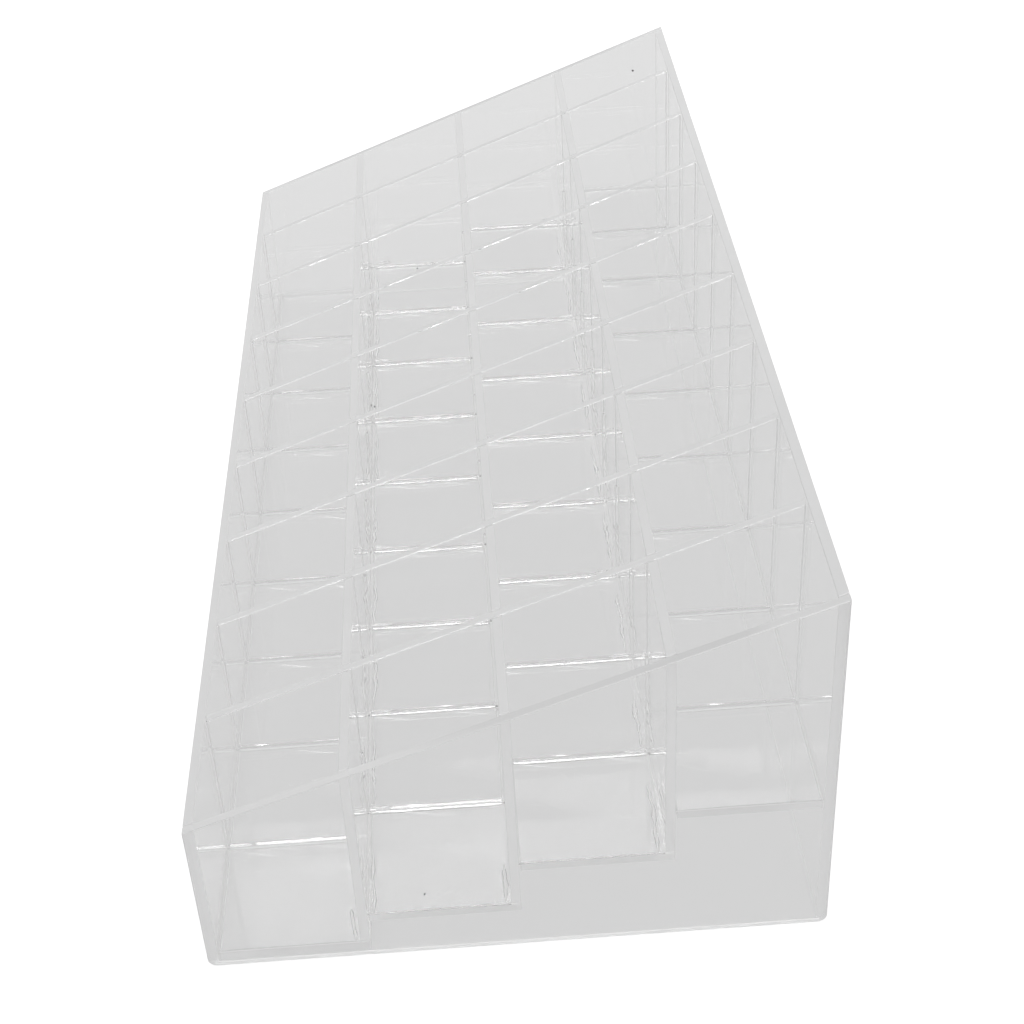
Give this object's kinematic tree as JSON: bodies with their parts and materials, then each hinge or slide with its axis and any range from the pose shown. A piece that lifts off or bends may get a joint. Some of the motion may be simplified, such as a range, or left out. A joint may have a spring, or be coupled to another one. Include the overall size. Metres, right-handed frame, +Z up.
{
  "type": "nail polish rack",
  "caption": "Clear stepped rack with a slanted rim and a grid of square pockets that hold small bottles upright in rising tiers.",
  "frame": {"origin": "centre of the rack's footprint, at the table", "axes": "+X along the length towards the right end, +Y from the low front to the high back, +Z up"},
  "size_m": [0.2084, 0.0936, 0.062],
  "materials": {
    "end_panels": "clear polished acrylic",
    "front_and_back_panels": "clear polished acrylic",
    "tier_floors": "clear polished acrylic",
    "long_dividers": "clear polished acrylic",
    "cross_partitions": "clear polished acrylic"
  },
  "bodies": {
    "root": {"end_panel_left": "end_panels", "end_panel_right": "end_panels", "front_panel": "front_and_back_panels", "back_panel": "front_and_back_panels", "tier_floor_1": "tier_floors", "tier_floor_2": "tier_floors", "tier_floor_3": "tier_floors", "tier_floor_4": "tier_floors", "long_divider_1": "long_dividers", "long_divider_2": "long_dividers", "long_divider_3": "long_dividers", "cross_partition_1": "cross_partitions", "cross_partition_2": "cross_partitions", "cross_partition_3": "cross_partitions", "cross_partition_4": "cross_partitions", "cross_partition_5": "cross_partitions", "cross_partition_6": "cross_partitions", "cross_partition_7": "cross_partitions", "cross_partition_8": "cross_partitions"}
  },
  "joints": []
}
